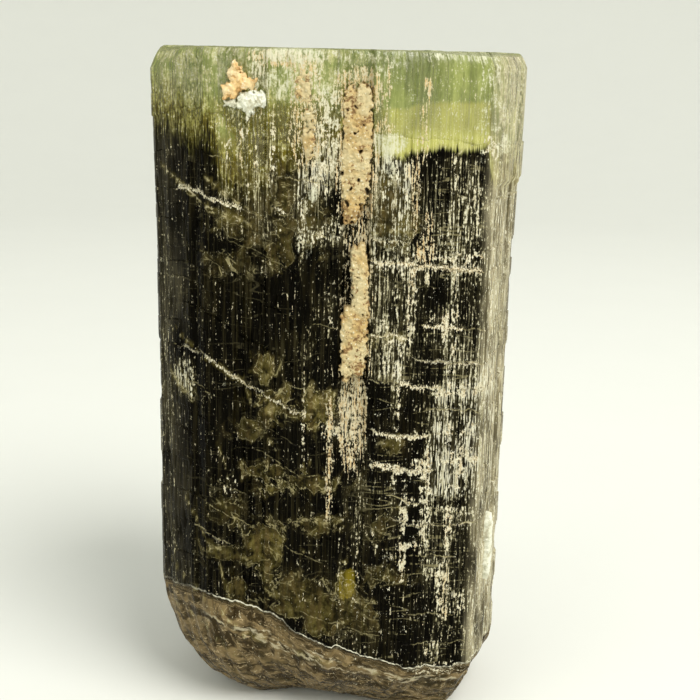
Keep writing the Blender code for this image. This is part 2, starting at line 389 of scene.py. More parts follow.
# Where things lie on the front: (x from, x to, height from, height to, how much)
olivePatches = [
    (-9.6, -5.8, 44.8, 48.4, 0.45), (-5.6, -3.4, 43.2, 46.6, 0.4), (-10.6, -7.0, 42.1, 44.1, 0.16),
    (-6.5, -5.4, 32.7, 34.9, 0.7), (-6.8, -3.7, 30.2, 32.3, 0.9), (-6.2, -5.0, 29.3, 30.4, 0.7),
    (-4.6, -2.6, 29.6, 30.9, 0.6), (-2.5, 0.1, 28.9, 32.1, 0.95), (-8.3, -5.7, 27.6, 29.1, 0.3),
    (-6.9, -4.0, 23.6, 25.3, 0.75), (-3.9, 0.6, 23.0, 24.5, 0.65), (-5.8, -3.2, 22.4, 23.7, 0.7),
    (-7.6, -4.4, 15.6, 19.6, 0.75), (-6.8, -4.2, 14.0, 16.6, 0.6), (-4.7, 0.2, 19.2, 20.4, 0.5),
    (-4.9, 0.4, 10.6, 14.8, 0.5), (-2.0, 1.6, 9.0, 12.4, 0.55), (-8.9, -7.1, 12.0, 14.2, 0.5),
    (-10.9, -7.4, 15.8, 17.2, 0.35), (-11.0, -7.6, 19.0, 22.0, 0.2), (0.9, 4.4, 9.0, 13.0, 0.45),
    (3.0, 6.8, 44.2, 50.8, 0.7), (-8.8, -5.2, 47.2, 49.6, 0.4), (3.4, 6.6, 48.6, 50.6, 0.5),
    (-9.2, -5.6, 49.6, 55.2, 0.9), (-3.0, -0.6, 44.6, 49.0, 0.45), (4.5, 6.2, 26.6, 28.2, 0.5),
    (3.0, 5.0, 36.4, 37.4, 0.7), (3.4, 6.6, 14.2, 15.4, 0.35), (-9.4, -6.6, 15.6, 17.4, 0.35),
    (-9.0, -6.0, 9.8, 12.6, 0.45), (3.6, 5.4, 18.4, 20.4, 0.3), (0.8, 2.5, 12.2, 15.6, 1.7),
    (-2.6, 0.6, 51.6, 56.0, 0.5), (-5.0, -3.4, 46.6, 52.0, 0.5),
]
creamClumps = [
    (7.6, 12.8, 4.9, 6.3, 0.65), (8.8, 10.4, 6.4, 8.4, 0.5), (6.3, 7.0, 36.8, 43.6, 0.8),
    (7.7, 8.0, 41.6, 43.1, 0.9), (10.0, 10.6, 39.4, 44.2, 0.7), (9.4, 9.8, 36.4, 38.8, 0.9),
    (10.0, 10.5, 33.5, 38.5, 0.6), (5.3, 6.0, 28.7, 36.9, 0.6), (4.4, 4.8, 33.9, 36.3, 0.5),
    (6.3, 6.9, 18.9, 23.1, 0.9), (6.3, 6.9, 14.7, 18.5, 0.9), (8.0, 8.9, 17.7, 26.7, 0.8),
    (10.3, 11.0, 17.7, 21.5, 0.9), (5.4, 5.8, 22.2, 25.2, 0.6), (9.8, 11.0, 10.5, 16.3, 0.8),
    (3.9, 4.4, 17.5, 19.4, 0.6), (5.5, 5.9, 11.5, 17.1, 0.5), (9.7, 10.2, 47.7, 51.8, 0.5),
    (11.0, 12.2, 45.2, 50.6, 0.5), (-3.1, -2.6, 43.5, 49.3, 0.6), (-6.8, -6.5, 49.7, 52.5, 0.7),
    (-8.1, -7.8, 51.3, 54.5, 0.8), (-9.1, -8.8, 51.6, 53.3, 0.7), (-7.5, -7.2, 49.2, 54.9, 0.6),
    (-5.5, -5.1, 50.5, 55.0, 0.8), (-0.4, 0.1, 37.5, 41.4, 0.5), (3.0, 4.8, 43.2, 43.8, 0.9),
    (4.8, 6.4, 42.9, 43.5, 0.9), (8.5, 10.2, 43.6, 44.2, 0.9), (10.1, 12.7, 43.8, 44.6, 0.9),
    (10.2, 12.3, 42.5, 43.7, 0.5), (2.6, 3.6, 38.6, 39.5, 0.7), (3.6, 4.9, 37.7, 38.7, 0.7),
    (4.9, 6.3, 36.6, 37.3, 0.8), (8.2, 9.8, 38.5, 39.1, 0.9), (9.4, 11.0, 38.8, 39.4, 0.8),
    (9.0, 10.3, 31.4, 32.6, 0.8), (9.9, 13.1, 31.8, 33.1, 0.85), (12.6, 14.2, 32.0, 34.1, 0.8),
    (3.7, 5.0, 25.1, 25.6, 0.9), (4.8, 7.3, 24.8, 25.4, 1), (7.1, 9.1, 24.8, 26.0, 0.9),
    (9.2, 10.4, 25.5, 26.4, 0.7), (9.9, 10.7, 27.9, 29.2, 0.8), (10.2, 13.0, 24.6, 27.3, 0.8),
    (11.5, 13.0, 27.4, 29.4, 0.7), (6.6, 7.7, 27.9, 28.5, 0.9), (9.0, 10.1, 27.9, 29.3, 0.6),
    (10.3, 11.6, 23.1, 24.7, 0.7), (6.9, 9.2, 21.4, 22.6, 0.6), (7.3, 8.6, 19.6, 20.7, 0.7),
    (8.5, 10.8, 21.0, 21.7, 0.6), (10.8, 12.8, 20.6, 21.3, 0.6), (6.8, 8.7, 17.5, 18.6, 0.6),
    (8.8, 10.8, 14.6, 15.4, 0.6), (11.0, 13.2, 11.2, 13.6, 0.6), (0.7, 3.0, 27.6, 34.0, 0.9),
    (0.7, 2.9, 25.8, 28.4, 0.6), (0.6, 3.1, 44.6, 47.2, 0.7), (0.6, 1.9, 38.6, 45.0, 0.55),
    (0.85, 1.15, 9.6, 23.4, 0.5), (2.45, 2.75, 8.2, 23.4, 0.5), (-2.4, 3.4, 44.8, 46.8, 0.6),
    (-2.52, -2.36, 28.3, 32.2, 0.9), (-2.4, 0.2, 51.0, 57.6, 0.8), (-0.9, 0.8, 27.4, 29.2, 0.7),
    (-2.3, -0.5, 49.2, 50.8, 0.7), (-3.0, -2.0, 48.0, 48.8, 0.6), (-5.1, -3.8, 45.6, 48.0, 0.4),
    (-6.2, -5.3, 42.1, 43.5, 0.5), (-13.9, -12.3, 31.4, 34.0, 0.4), (-9.5, -8.4, 22.4, 23.8, 0.6),
    (12.2, 13.4, 52.3, 54.4, 0.8), (5.6, 6.3, 49.4, 52.2, 0.7),
]
clayStains = [
    (-0.3, 3.7, 55.4, 59.6, 0.7), (0.0, 3.5, 46.6, 55.6, 0.6), (0.6, 3.5, 30.4, 45.4, 0.35),
    (-3.9, -1.2, 51.4, 59.8, 0.6), (-7.0, -1.4, 59.5, 60.7, 0.8), (-7.1, -6.2, 55.4, 57.6, 0.4),
    (-6.9, -5.6, 58.6, 59.6, 0.6), (0.7, 3.0, 25.0, 33.4, 0.6), (0.8, 3.0, 44.4, 47.4, 0.5),
    (7.1, 7.7, 57.7, 58.7, 0.9), (7.1, 7.6, 57.0, 57.5, 0.6), (7.0, 7.5, 52.9, 56.0, 0.55),
    (4.0, 4.3, 57.0, 59.9, 0.6), (3.2, 4.6, 53.9, 55.4, 0.65), (6.4, 7.0, 46.9, 52.4, 0.6),
    (7.5, 8.2, 46.0, 47.8, 0.55), (5.8, 6.3, 50.6, 52.4, 0.5), (6.9, 8.5, 43.4, 45.8, 0.62),
    (-0.35, 0.1, 23.8, 31.0, 0.72), (-1.9, -0.6, 55.4, 57.4, 0.5), (10.3, 11.0, 11.0, 16.0, 0.5),
    (0.2, 2.6, 56.8, 58.4, 0.5), (-0.3, 0.1, 20.5, 24.0, 0.6),
]
paleStains = [
    (-7.3, -5.2, 57.6, 59.8, 0.6), (3.2, 6.0, 44.4, 46.4, 0.32), (-3.2, -1.9, 43.6, 45.8, 0.3),
    (11.6, 13.6, 52.6, 60.8, 0.35), (3.0, 5.7, 52.6, 54.3, 0.72), (-5.8, -1.2, 59.7, 60.9, 0.75),
    (-5.4, -3.0, 56.6, 59.2, 0.5), (7.4, 13.5, 60.2, 61.4, 0.5), (-2.8, -0.4, 57.4, 59.4, 0.45),
    (0.0, 1.6, 58.4, 60.4, 0.45), (-1.8, 0.2, 54.2, 58.4, 0.5), (0.9, 4.6, 58.6, 60.6, 0.4),
    (4.0, 4.9, 50.8, 52.8, 0.55), (13.3, 14.7, 52.5, 54.3, 0.6), (-2.4, -1.5, 48.6, 49.8, 0.6),
    (-7.4, -6.0, 58.0, 60.4, 0.4),
]
filmZones = [  # how thickly pale fibres lie in the ridges
    (-50, 50, 0, 62, 0.12), (-15.9, -10.5, 8, 50.0, 0.16), (-8.8, -1.8, 30.0, 43.0, 0.0),
    (-10.0, -0.6, 45.0, 56.0, 0.52), (-5.4, -3.2, 45.0, 54.5, 0.25), (-3.2, 1.0, 30.0, 45.0, 0.24),
    (-3.2, 1.0, 45.0, 54.0, 0.62), (2.8, 6.6, 44.0, 52.5, 0.85), (6.6, 13.0, 44.2, 52.6, 0.48),
    (2.8, 6.4, 33.0, 44.0, 0.6), (6.4, 9.4, 33.0, 44.0, 0.42), (9.4, 13.4, 32.5, 44.0, 0.52),
    (2.8, 8.6, 26.0, 33.0, 0.22), (8.6, 13.4, 22.0, 33.0, 0.8), (2.8, 8.0, 7.0, 25.0, 0.18),
    (8.0, 13.4, 7.0, 22.0, 0.38), (-9.6, 0.6, 7.0, 30.0, 0.05), (0.6, 3.2, 26.8, 31.8, 0.62),
    (13.0, 50, 0, 62, 0.75), (0.6, 3.2, 7.0, 26.8, 0.3), (-14.4, -12, 30.5, 34.5, 0.7),
    (-16.5, -14.2, 8, 50.0, 0.4),
]
mossZones = [  # olive parts of the cap
    (-10.8, -0.6, 47.5, 56.6, 0.9), (-8.2, -5.4, 56.0, 59.4, 0.6), (-7.2, -3.4, 48.0, 56.0, 1.0),
]
capEdge = {  # height at which the green cap gives way to the dark body, across the front
    "x": [-16, -13.6, -12.6, -11, -10.2, -9.7, -8.0, -5.6, -5.4, -3.2, -2.9,
          -1.2, 0.6, 2.8, 3.0, 5.8, 6.4, 7.6, 12.6, 13.0, 16],
    "z": [54.4, 54.2, 53.4, 53.4, 52.4, 49.9, 49.4, 49.8, 51.8, 51.9, 52.2,
          52.6, 54.4, 55.2, 52.4, 52.4, 52.8, 53.0, 53.1, 50.4, 49.0],
    "behind": 52.0, "behindWaver": 2.0,
}
wisps = [  # thin pale veins: (x, height) points from left to right, how strong, how wide
    ([(-11.0, 50.4), (-9.5, 49.2), (-7.8, 48.0)], 0.8, 0.2),
    ([(-10.1, 49.0), (-8.7, 48.7), (-6.2, 47.1)], 0.5, 0.12),
    ([(-15.2, 50.9), (-12.9, 49.4), (-11.2, 48.0), (-8.3, 47.0), (-6.6, 46.2)], 0.9, 0.22),
    ([(-14.7, 37.1), (-13.5, 36.2), (-12.2, 35.3), (-10.7, 34.4), (-9.7, 34.0), (-8.8, 33.2),
      (-7.65, 32.8), (-7.1, 31.1), (-5.9, 30.2), (-4.9, 30.1), (-4.2, 29.7), (-2.8, 29.6)], 0.8, 0.13),
    ([(-5.8, 34.4), (-4.6, 35.1)], 0.6, 0.1), ([(-4.4, 31.8), (-4.15, 31.0), (-4.05, 30.0)], 0.8, 0.09),
    ([(-2.3, 31.2), (-1.2, 31.45), (0.0, 31.3)], 0.9, 0.09),
    ([(-2.3, 30.05), (-1.0, 30.15), (0.0, 29.9)], 0.7, 0.08), ([(-2.3, 29.0), (-0.6, 29.0)], 0.9, 0.09),
    ([(-2.7, 25.1), (-1.6, 25.8)], 0.6, 0.09), ([(-10.0, 26.9), (-9.4, 25.2), (-9.05, 23.5)], 0.6, 0.11),
    ([(-3.3, 17.1), (-1.9, 17.2)], 0.6, 0.08), ([(-14.7, 33.0), (-13.5, 31.5), (-12.3, 30.7)], 0.8, 0.22),
    ([(-13.6, 33.3), (-11.7, 30.7)], 0.4, 0.15),
    ([(-13.4, 21.4), (-12.3, 19.7), (-11.1, 17.6), (-9.9, 15.9), (-9.4, 13.5)], 0.75, 0.13),
    ([(-10.6, 22.1), (-8.8, 20.6), (-7.95, 19.2), (-7.6, 17.9)], 0.6, 0.16),
    ([(-11.1, 17.6), (-8.8, 16.5), (-7.2, 16.0)], 0.55, 0.14),
    ([(-7.0, 14.9), (-5.2, 13.9), (-4.65, 12.3)], 0.5, 0.12),
    ([(-7.6, 29.4), (-6.0, 28.3), (-4.6, 26.4)], 0.5, 0.14),
    ([(-6.6, 25.4), (-5.4, 24.0), (-3.4, 23.0), (-1.8, 22.6)], 0.5, 0.13),
    ([(-4.6, 19.0), (-3.1, 20.0), (0.0, 19.9), (1.1, 20.2)], 0.55, 0.14),
    ([(-6.4, 34.6), (-4.9, 33.4), (-4.3, 34.8)], 0.6, 0.14),
    ([(3.4, 36.4), (4.6, 37.4), (6.2, 36.9)], 0.8, 0.25),
    ([(3.6, 30.0), (6.0, 28.9), (9.6, 28.4)], 0.4, 0.1),
    ([(1.44, 60.44), (2.1, 58.8), (2.61, 56.68)], 0.9, 0.16),
    ([(-15.0, 14.4), (-12.8, 12.9), (-10.8, 11.2)], 0.6, 0.14),
    ([(-7.6, 16.0), (-6.0, 13.6), (-4.4, 12.2)], 0.5, 0.12),
    ([(3.2, 45.9), (5.0, 46.3), (6.6, 46.0)], 0.8, 0.16), ([(3.0, 43.9), (6.6, 43.9)], 0.4, 0.1),
    ([(4.2, 20.6), (6.0, 21.6), (7.0, 21.6)], 0.5, 0.13), ([(-11.2, 57.6), (-10.9, 55.2)], 0.3, 0.1),
    ([(-10.2, 11.4), (-7.8, 8.5), (-5.4, 7.9), (-3.4, 6.9), (-0.6, 6.5)], 0.9, 0.15),
    ([(-0.6, 6.5), (4.8, 5.0), (9.6, 4.4)], 0.7, 0.12),
    ([(-14.6, 9.8), (-11.8, 9.0), (-8.6, 6.2)], 0.6, 0.12), ([(9.6, 60.0), (10.4, 58.4)], 0.5, 0.1),
]


def perimeter():
    corners = np.array(prism["corners"])
    return np.linalg.norm(corners - np.roll(corners, 1, axis=0), axis=1).sum()


def outlineAt(arc):
    # the point at this arc length from the groove, and the way out
    corners = np.array(prism["corners"])
    closed = np.vstack([corners, corners[:1]])
    reach = np.r_[0, np.cumsum(np.linalg.norm(np.diff(closed, axis=0), axis=1))]

    def sharp(a):
        return np.stack([np.interp(a % reach[-1], reach, closed[:, i]) for i in (0, 1)], axis=-1)

    before, after = sharp(arc - prism["rounding"]), sharp(arc + prism["rounding"])
    along = (after - before) / np.linalg.norm(after - before, axis=-1, keepdims=True)
    return (before + 2 * sharp(arc) + after) / 4, np.stack([along[..., 1], -along[..., 0]], axis=-1)


def columnArcs():
    half = perimeter() / 2
    return np.concatenate([
        np.arange(-half, prism["fineFrom"], prism["coarseColumn"]),
        np.arange(prism["fineFrom"], prism["fineTo"], prism["fineColumn"]),
        np.arange(prism["fineTo"], half - 0.1, prism["coarseColumn"]),
    ])


def edgeHeights(point):
    # where the break begins: high on the left of the front, low on the right and behind
    x, y = point[..., 0], point[..., 1]
    front, behind = np.interp(x, breakShape["edgeX"], breakShape["edgeZ"]), breakShape["edgeBehind"]
    height = behind + (front - behind) * smooth(9.0, -4.0, y)
    height = height + breakShape["edgeWaver"] * noiseAt(x / 2, y / 2, 3.0)
    return height + breakShape["edgeFineWaver"] * noiseAt(x * 1.6, y * 1.6, 8.0, octaves=2)


def bevelAt(point):
    # how worn the edge round the top is
    x, y = point[..., 0], point[..., 1]
    front = smooth(6.0, -4.0, y)
    left = prism["bevelLeft"] * smooth(-12.0, -15.5, x) * front
    right = prism["bevelRight"] * smooth(5.0, 13.0, x) * front
    chips = prism["bevelChips"] * np.abs(noiseAt(x * 0.9, y * 0.9, 5.0, octaves=3))
    return prism["bevelLeast"] + left + right + chips


def rowLevels():
    # from the top down, each with the number of its crack, or -1
    bottom, top = prism["edgeLevel"], prism["height"]
    plain = [level for level in np.arange(bottom, top, prism["rowHeight"])
             if all(abs(level - crack) > prism["crackRoom"] for crack, _ in cracks)]
    found = [(top, -1)] + [(level, -1) for level in plain]
    for i, (crack, _) in enumerate(cracks):
        found += [(crack - prism["crackHalf"], -1), (crack, i), (crack + prism["crackHalf"], -1)]
    return sorted(found, reverse=True)


def heightAt(level, point, arcs):
    # levels follow the broken edge near the base, rise to the left, and are flat at the top
    edge = edgeHeights(point)
    rim = prism["height"] - prism["bevelDrop"] * bevelAt(point)
    share = (level - prism["edgeLevel"]) / (prism["height"] - prism["edgeLevel"])
    arch = math.sin(math.pi * share) ** (0.6 if share < 0.5 else 1.0)
    rise = prism["leftRise"] * smooth(-4.0, -15.5, point[..., 0])
    waver = prism["waver"] * noiseAt(arcs * 0.3, level * 0.12, 2.0)
    waver = waver + prism["fineWaver"] * noiseAt(arcs * 1.1, level * 0.3, 4.0)
    return edge + (rim - edge) * share + (rise + waver) * arch


def crackLine(arcs, spans):
    strength, clay = np.zeros_like(arcs), np.zeros_like(arcs)
    for start, end, much, tan in spans:
        here = much * smooth(start - 0.4, start + 0.4, arcs) * smooth(end + 0.4, end - 0.4, arcs)
        strength, clay = np.maximum(strength, here), np.where(here > 0.2, tan, clay)
    return strength, clay


def nearestCrack(level, arcs):
    # height above the nearest crack that shows here, how strongly it shows and its share of clay
    offset, near, tan = np.full_like(arcs, 2.0), np.zeros_like(arcs), np.zeros_like(arcs)
    for crack, spans in cracks:
        strength, clay = crackLine(arcs, spans)
        closer = (strength > 0.02) & (abs(level - crack) < np.abs(offset))
        offset, near = np.where(closer, level - crack, offset), np.where(closer, strength, near)
        tan = np.where(closer, clay, tan)
    return offset, near * smooth(0.75, 0.45, np.abs(offset)), tan


def sideRows(arcs):
    # the ridged sides, a row for each level, and the crack values of each point
    point, normal = outlineAt(arcs)
    ridges = sum(lands(arcs, *ridge) for ridge in prism["ridges"])
    half, wall = prism["grooveHalf"], prism["grooveWall"]
    inGroove = 1 - smooth(half - wall, half + wall, np.abs(arcs))
    onRight = smooth(11.6, 12.6, arcs) * smooth(25.6, 19.6, arcs)
    rows, marks = [], []
    for level, crack in rowLevels():
        height = heightAt(level, point, arcs)
        band = sum(other > level + 0.01 for other, _ in cracks)
        steps = lands(arcs, prism["blockWidths"], prism["blockStep"], 20 + band) - prism["blockStep"] / 2
        shift = prism["blockShift"] * noiseAt(arcs / 3, band * 5.3, 1.0) + 0.5 * steps
        pits = prism["pitDepth"] * smooth(0.25, 0.6, noiseAt(arcs * 2.6, height * 0.55, 6.0, octaves=3))
        deep = (prism["grooveDepth"] - prism["grooveDepthLow"]) * smooth(*prism["grooveDeepens"], height)
        deep = prism["grooveDepthLow"] + deep
        below = height < prism["rightLedge"] + 0.3 * noiseAt(arcs, 0.0, 9.0)
        flanks = smooth(12.0, 14.5, np.abs(point[:, 0])) * (0.2 + 0.3 * smooth(40, 60, height))
        out = prism["swell"] + flanks + shift - ridges * (1 - prism["grooveSmooths"] * inGroove)
        out = out - deep * inGroove - prism["rightLedgeDepth"] * onRight * below - pits
        offset, near, tan = nearestCrack(level, arcs)
        if crack >= 0:
            out = out - prism["crackNotch"] - prism["crackDeeper"] * near + prism["crackClay"] * tan * near
        rows.append(np.column_stack([point + out[:, None] * normal, height]))
        marks.append(np.column_stack([offset, near, tan]))
    return rows, marks


def topRows(rim):
    # the bevel round the top, then rings across it, from the middle outwards
    bevel = bevelAt(rim[:, :2])[:, None]
    length = np.linalg.norm(rim[:, :2], axis=1, keepdims=True)
    rings = []
    for share in prism["bevelShares"]:
        lift = rim[:, 2:] + (prism["height"] - rim[:, 2:]) * (1 - (1 - share) ** prism["bevelRound"])
        rings.append(np.hstack([rim[:, :2] * (1 - share * bevel / length), lift]))
    edge = rings[-1]
    flat = [edge] + [np.hstack([edge[:, :2] * scale, edge[:, 2:]]) for scale in prism["topScales"]]
    for ring in flat:
        x, y = ring[:, 0], ring[:, 1]
        relief = np.round(prism["topSteps"] * noiseAt(x / 5, y / 5, 1.0)) * prism["topStep"]
        relief = relief + prism["topGrain"] * noiseAt(x * 1.3, y * 1.3, 2.0, octaves=3)
        ring[:, 2] = prism["height"] - prism["topLow"] + np.minimum(relief, prism["topLow"])
    return (rings + flat[1:])[::-1]


def baseRows(edge, smoothEdge):
    # the broken base, in rings from the edge of the break down to the foot and in to its middle
    ridged, height = edge[:, :2], edge[:, 2]
    flat = ridged
    x, y = flat.T
    length = np.linalg.norm(flat, axis=1)
    toLeft = smooth(-0.2, 1.0, flat @ np.array(breakShape["left"]) / length)
    inset = breakShape["inset"] + breakShape["insetLeft"] * toLeft
    rings = []
    for way in np.linspace(0, 1, breakShape["rings"] + 1)[1:]:
        inward = np.interp(way, breakShape["way"], breakShape["inward"]) ** (1 + 1.1 * toLeft)
        left = np.interp(way, breakShape["way"], breakShape["height"])
        turns = breakShape["rippleTurns"] * way + 2.5 * noiseAt(x / 6, y / 6, 4.0)
        ripple = breakShape["ripple"] * np.sin(turns) * left
        bumps = breakShape["bumps"] * noiseAt(x / 2.5, y / 2.5, way * 2)
        bumps = left * (1 - left) * (bumps + breakShape["fineBumps"] * noiseAt(x, y, way * 4, octaves=3))
        flat = ridged + (smoothEdge - ridged) * smooth(0, 0.2, way)
        spread = flat * (1 - (inset * inward + breakShape["bumpsOut"] * bumps) / length)[:, None]
        rings.append(np.column_stack([spread, np.maximum(height * left + bumps + ripple, 0)]))
    rings[-1][:, 2] = 0
    foot = rings[-1].copy()
    for scale in breakShape["footScales"]:
        rings.append(foot * [scale, scale, 0])
    return rings


def patchDepth(x, z, patches):
    # how far inside the nearest rounded patch, and that patch's amount
    depth, amount = np.full_like(x, -1.5), np.zeros_like(x)
    for x0, x1, z0, z1, much in patches:
        across, up = (x1 - x0) / 2, (z1 - z0) / 2
        away = (np.abs((x - x0 - across) / across) ** 2.6 + np.abs((z - z0 - up) / up) ** 2.6) ** (1 / 2.6)
        here = (1 - away) * min(across, up) * 1.2
        amount = np.where(here > depth, much, amount)
        depth = np.maximum(depth, here)
    return np.minimum(depth, 1.5), amount


def patchDensity(x, z, patches, soft):
    depths = [(patchDepth(x, z, [patch])[0], patch[4]) for patch in patches]
    return np.max([much * smooth(-soft, 0.1, depth) for depth, much in depths], axis=0)


def zoneValue(x, z, zones, soft):
    # later zones lie over earlier ones
    value = np.zeros_like(x)
    for x0, x1, z0, z1, much in zones:
        share = smooth(-soft, soft, np.minimum(np.minimum(x - x0, x1 - x), np.minimum(z - z0, z1 - z)))
        value += (much - value) * share
    return value


def wispFields(x, z):
    # signed distance above the nearest wisp, how near it is, and how strong there
    offset, near = np.full_like(x, 1.0), np.zeros_like(x)
    for points, much, width in wisps:
        px, pz = np.array(points).T
        slope = np.interp(x, (px[:-1] + px[1:]) / 2, np.diff(pz) / np.diff(px))
        apart = (z - np.interp(x, px, pz)) / np.sqrt(1 + slope**2) / width
        inSpan = smooth(px[0] - 0.3, px[0] + 0.3, x) * smooth(px[-1] + 0.3, px[-1] - 0.3, x)
        here = much * inSpan * smooth(7, 4, np.abs(apart))
        closer = here * (np.abs(apart) < np.abs(offset) + 0.01) > near * (np.abs(offset) <= np.abs(apart))
        offset, near = np.where(closer, apart, offset), np.where(closer, here, near)
    return np.clip(offset, -8, 8), near


def prismRows(arcs):
    # all rows of points, from the middle of the top to the middle of the foot, and their crack values
    sides, marks = sideRows(arcs)
    top = topRows(sides[0])
    base = baseRows(sides[-1], outlineAt(arcs)[0] * prism["underEdge"])
    blank = [np.tile([2.0, 0.0, 0.0], (len(arcs), 1))]
    rows, marks = np.array(top + sides + base), np.array(blank * len(top) + marks + blank * len(base))
    rows, marks = (np.concatenate([part, part[:, :1]], axis=1) for part in (rows, marks))
    return rows, marks, len(top), len(top) + len(sides)


def makePrism():
    arcs = columnArcs()
    rows, marks, first, last = prismRows(arcs)
    piece, column, row = gridPiece("tourmalinePrism", len(arcs) + 1, len(rows))
    points = rows[row, column]
    x, y, z = points.T
    setPoints(piece, points)
    front = smooth(-2.0, -5.0, y)  # 1 on the front, 0 behind
    drift = noiseAt(x * 0.22 + y * 0.1, y * 0.22, z * 0.055, octaves=2)  # slow changes round the back
    onTop, onSides = row < first - 2, row < last
    addValues(piece, "broken", row >= last)
    addValues(piece, "endFace", onTop)
    for i, name in enumerate(("crackOff", "crackNear", "tan")):
        addValues(piece, name, marks[row, column, i])

    # the cap's lower edge, then where each look lies in front, and how it goes on behind
    behind = capEdge["behind"] + capEdge["behindWaver"] * noiseAt(x * 0.2, y * 0.2, 7.0, octaves=2)
    frontEdge = smooth(0.0, -6.0, y)
    capLine = np.interp(x, capEdge["x"], capEdge["z"]) * frontEdge + behind * (1 - frontEdge)
    addValues(piece, "cap", z - capLine)
    addValues(piece, "right", smooth(2.4, 4.6, x) * smooth(14.2, 12.2, x) * front)
    addValues(piece, "moss", zoneValue(x, z, mossZones, 0.8) * front)
    depth, amount = patchDepth(x, z, olivePatches)
    addValues(piece, "olive", depth * front + np.clip(2.4 * drift - 0.9, -1.5, 1.2) * (1 - front))
    addValues(piece, "oliveTone", amount * front + 0.5 * (1 - front))
    for name, patches in (("cream", creamClumps), ("clay", clayStains), ("pale", paleStains)):
        addValues(piece, name, patchDensity(x, z, patches, 0.35) * front)
    offset, near = wispFields(x, z)
    addValues(piece, "wisp", offset)
    addValues(piece, "wispNear", near * front)
    addValues(piece, "film", zoneValue(x, z, filmZones, 0.6) * front + (0.42 - 0.9 * drift) * (1 - front))
    # painted reflection of the bright surroundings on the side faces: strong on the right flank, faint on
    # the left
    rightFlank = smooth(12.2, 13.8, x) * smooth(-1.0, -6.5, y + 1.5 * drift)
    leftFlank = 0.06 * smooth(-12.4, -14.0, x) * front
    addValues(piece, "flank", (rightFlank + leftFlank) * onSides)

    # height above the edge of the break, and how strongly the lines along that edge show, among them a
    # painted highlight line
    edge = edgeHeights(rows[last - 1, :, :2])[column]
    addValues(piece, "lip", np.where(onSides, z - edge, -0.35 * (row - last + 1)))
    byEdge = (np.abs(row - last) < 6) * (0.3 + 0.7 * smooth(-12.5, -9, x))
    addValues(piece, "lipNear", byEdge * smooth(15.5, 13.5, x) * front)

    # the wrap map, in millimetres: round the sides and up them, and a plan of the top
    wrapArcs = np.r_[arcs, arcs[0] + perimeter()][column]
    up = np.where(onTop, 100 + y, np.where(onSides, z, -1.0 * (row - last)))
    addMap(piece, "wrap", np.where(onTop, x, wrapArcs), up)

    inEditMode(piece, lambda: bpy.ops.mesh.select_all(action="SELECT"),
               lambda: bpy.ops.mesh.remove_doubles(threshold=1e-6))
    bpy.ops.object.shade_smooth_by_angle(angle=math.radians(34))
    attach(piece, "root")
    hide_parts("crystal")
    return piece


prismFinish = {
    "black": (0.0008, 0.0007, 0.0003), "brownBlack": (0.009, 0.007, 0.002),
    "dimLine": (0.055, 0.047, 0.022),
    "oliveDeep": (0.02, 0.0165, 0.004), "olive": (0.23, 0.186, 0.05), "oliveBrown": (0.17, 0.122, 0.036),
    "rim": (0.36, 0.315, 0.16), "amber": (0.23, 0.175, 0.012),
    "fibreDim": (0.13, 0.115, 0.062), "fibre": (0.42, 0.38, 0.235), "fibreBright": (0.74, 0.71, 0.56),
    "cream": (0.60, 0.54, 0.37), "creamTan": (0.50, 0.39, 0.22), "clay": (0.60, 0.42, 0.20),
    "pale": (0.62, 0.61, 0.46),
    "sage": (0.32, 0.35, 0.115), "sageDeep": (0.22, 0.25, 0.075), "yellowGreen": (0.41, 0.40, 0.115),
    "yellowPale": (0.62, 0.60, 0.28), "capOlive": (0.135, 0.108, 0.01), "capLight": (0.38, 0.35, 0.09),
    "capPale": (0.54, 0.51, 0.245),
    # sideFace and sideDeep are painted reflection of the bright surroundings on the side faces
    "broken": (0.205, 0.147, 0.068), "brokenDeep": (0.032, 0.021, 0.007), "sideFace": (0.53, 0.47, 0.31),
    "sideDeep": (0.24, 0.205, 0.12),
    "roughness": 0.2, "dustRoughness": 0.5, "gloss": 0.025, "glossTint": (1.0, 0.9, 0.7), "ior": 1.63,
    "coatBase": 0.12, "coatCap": 0.15, "coatRoughness": 0.18, "reliefHeight": 0.00014, "relief": 0.7,
    "clearTint": (0.95, 1.0, 0.85), "clearRoughness": 0.2,  # where the cap is see-through
    "clearShare": 0.54, "clearColour": (0.55, 0.66, 0.25), "clearDensity": 150.0,
}

# Noise on the wrap map: how fine across and along, where it starts, then what else its node is given.
prismPatterns = {
    "hair": ((6.0, 0.09), (0, 0), {}),
    "dash": ((6.0, 0.6), (3, 2), {"roughness": 0.6}),
    "speck": ((4.8, 2.6), (2, 7), {"detail": 3, "roughness": 0.65}),
    "grit": ((10, 6), (8, 5), {"detail": 1}),
    "mid": ((2.1, 0.16), (5, 3), {}),
    "broad": ((0.45, 0.16), (9, 1), {}),
    "chips": ((1.3, 1.1), (4, 8), {"detail": 4, "roughness": 0.65}),
    "cloud": ((0.5, 0.42), (1, 6), {"detail": 3, "distortion": 0.8}),
    "curl": ((0.3, 0.42), (8, 2), {"detail": 3, "distortion": 0.5}),
    "flow": ((0.22, 0.4), (2, 9), {"detail": 3}),
    "levels": ((0.12, 0.75), (7, 2), {"detail": 1}),
}
blockSize = (0.55, 0.16, 1)


